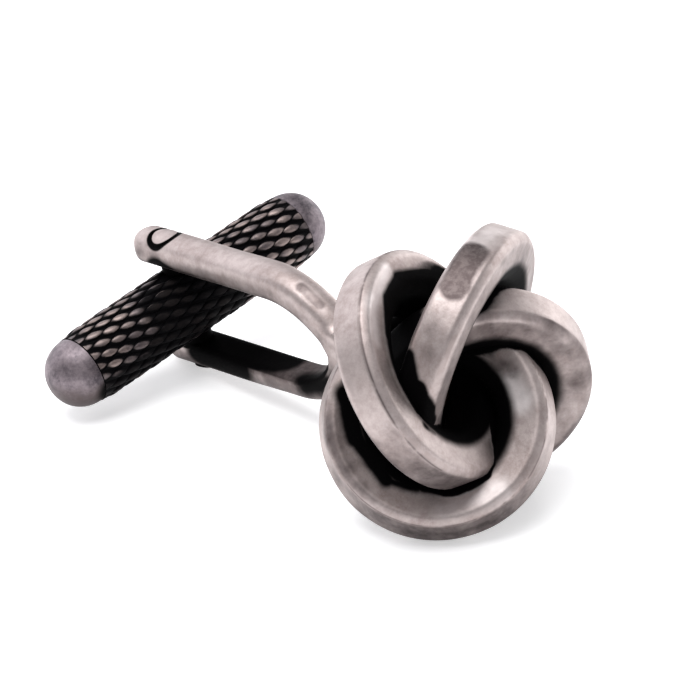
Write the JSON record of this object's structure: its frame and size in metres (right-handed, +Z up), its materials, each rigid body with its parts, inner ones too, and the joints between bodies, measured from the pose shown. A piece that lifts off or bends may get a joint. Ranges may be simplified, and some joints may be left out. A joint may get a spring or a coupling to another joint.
{
  "type": "knot cufflink",
  "caption": "Cufflink with an open cast knot of four interlaced, bevelled strands, a forked post brazed into its heart, and a knurled toggle bar that swivels on a pin.",
  "frame": {"origin": "centre of the bounding box at its lowest level, on the surface that the cufflink lies on", "axes": "+Z up; the post runs along Y with the knot towards -Y, and the toggle bar lies along X, tilted 12 degrees as the fork was brazed"},
  "size_m": [0.0182, 0.0294, 0.0146],
  "materials": {
    "knot_metal": "gunmetal plate, satin polished on the outside and blackened inside",
    "fork_metal": "gunmetal plate, satin polished",
    "braze_copper": "rough copper-coloured braze",
    "knurled_metal": "diamond knurl with blackened grooves and worn tops",
    "cap_metal": "gunmetal plate, soft satin"
  },
  "bodies": {
    "frame": {"knot": "knot_metal", "fork": "fork_metal", "braze": "braze_copper", "pivot_pin": "fork_metal"},
    "toggle": {"toggle_barrel": "knurled_metal", "toggle_cap_left": "cap_metal", "toggle_cap_right": "cap_metal"}
  },
  "joints": [
    {"name": "toggle_swivel", "type": "hinge", "parent": "frame", "child": "toggle", "pos_m": [0, 0.01183, 0.00405], "axis": [-0.2079, 0.1256, 0.9701], "range_deg": [-90, 90]}
  ]
}
